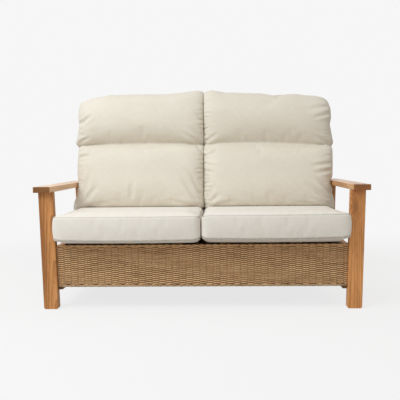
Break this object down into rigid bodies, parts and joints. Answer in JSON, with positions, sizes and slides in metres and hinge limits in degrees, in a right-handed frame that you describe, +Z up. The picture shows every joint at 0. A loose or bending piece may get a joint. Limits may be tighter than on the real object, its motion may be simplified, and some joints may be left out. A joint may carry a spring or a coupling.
{
  "type": "lounge sofa",
  "caption": "Lounge sofa with leaning timber side frames, a woven rattan skirt and back, boxed seat cushions and tall channelled back cushions that lift off.",
  "frame": {"origin": "on the floor, under the middle of the sofa's overall width and depth", "axes": "+Z up, +Y from the front edge to the back, +X to the right as seen from the front"},
  "size_m": [1.54, 0.87, 1.056],
  "materials": {
    "oiled_oak": "oiled, satin",
    "box_timber": "planed, unfinished",
    "rattan_weave": "split rattan, satin lacquer",
    "rattan_border": "round rattan, satin lacquer",
    "webbing": "woven elastic",
    "cushion_fabric": "matt, fine plain weave",
    "seat_foam": "open-cell foam",
    "fibre_filling": "polyester fibre in an inner bag",
    "zinc_steel": "zinc plated"
  },
  "bodies": {
    "frame": {"arm_board_left": "oiled_oak", "arm_board_right": "oiled_oak", "back_bottom_rail": "oiled_oak", "back_centre_upright": "oiled_oak", "back_cross_rail": "oiled_oak", "back_frame_coach_screws": "zinc_steel", "back_stile_left": "oiled_oak", "back_stile_right": "oiled_oak", "back_top_rail": "oiled_oak", "back_weave_left": "rattan_weave", "back_weave_right": "rattan_weave", "centre_bearer": "box_timber", "front_corner_post_left": "box_timber", "front_corner_post_right": "box_timber", "front_lower_rail": "box_timber", "front_post_left": "oiled_oak", "front_post_right": "oiled_oak", "front_seat_rail": "box_timber", "front_skirt_bottom_border": "rattan_border", "front_skirt_top_border": "rattan_border", "front_skirt_weave": "rattan_weave", "rear_corner_post_left": "box_timber", "rear_corner_post_right": "box_timber", "rear_lower_rail": "box_timber", "rear_post_left": "oiled_oak", "rear_post_right": "oiled_oak", "rear_seat_rail": "box_timber", "rear_skirt_borders": "rattan_border", "rear_skirt_weave": "rattan_weave", "seat_box_coach_screws": "zinc_steel", "seat_webbing": "webbing", "side_bearer_left": "box_timber", "side_bearer_right": "box_timber", "side_lower_rail_left": "box_timber", "side_lower_rail_right": "box_timber", "side_rail_left": "oiled_oak", "side_rail_right": "oiled_oak", "side_skirt_border_left": "rattan_border", "side_skirt_border_right": "rattan_border", "side_skirt_weave_left": "rattan_weave", "side_skirt_weave_right": "rattan_weave"},
    "seat_cushion_left": {"seat_cushion_cover_left": "cushion_fabric", "seat_cushion_foam_left": "seat_foam"},
    "back_cushion_left": {"back_cushion_cover_left": "cushion_fabric", "head_roll_filling_left": "fibre_filling", "lumbar_filling_left": "fibre_filling"},
    "seat_cushion_right": {"seat_cushion_cover_right": "cushion_fabric", "seat_cushion_foam_right": "seat_foam"},
    "back_cushion_right": {"back_cushion_cover_right": "cushion_fabric", "head_roll_filling_right": "fibre_filling", "lumbar_filling_right": "fibre_filling"}
  },
  "joints": [
    {"name": "seat_cushion_left_lift", "type": "slide", "parent": "frame", "child": "seat_cushion_left", "axis": [0, 0, 1], "range_m": [0, 0.77]},
    {"name": "back_cushion_left_lift", "type": "slide", "parent": "seat_cushion_left", "child": "back_cushion_left", "axis": [0, 0, 1], "range_m": [0, 0.63]},
    {"name": "seat_cushion_right_lift", "type": "slide", "parent": "frame", "child": "seat_cushion_right", "axis": [0, 0, 1], "range_m": [0, 0.77]},
    {"name": "back_cushion_right_lift", "type": "slide", "parent": "seat_cushion_right", "child": "back_cushion_right", "axis": [0, 0, 1], "range_m": [0, 0.63]}
  ]
}
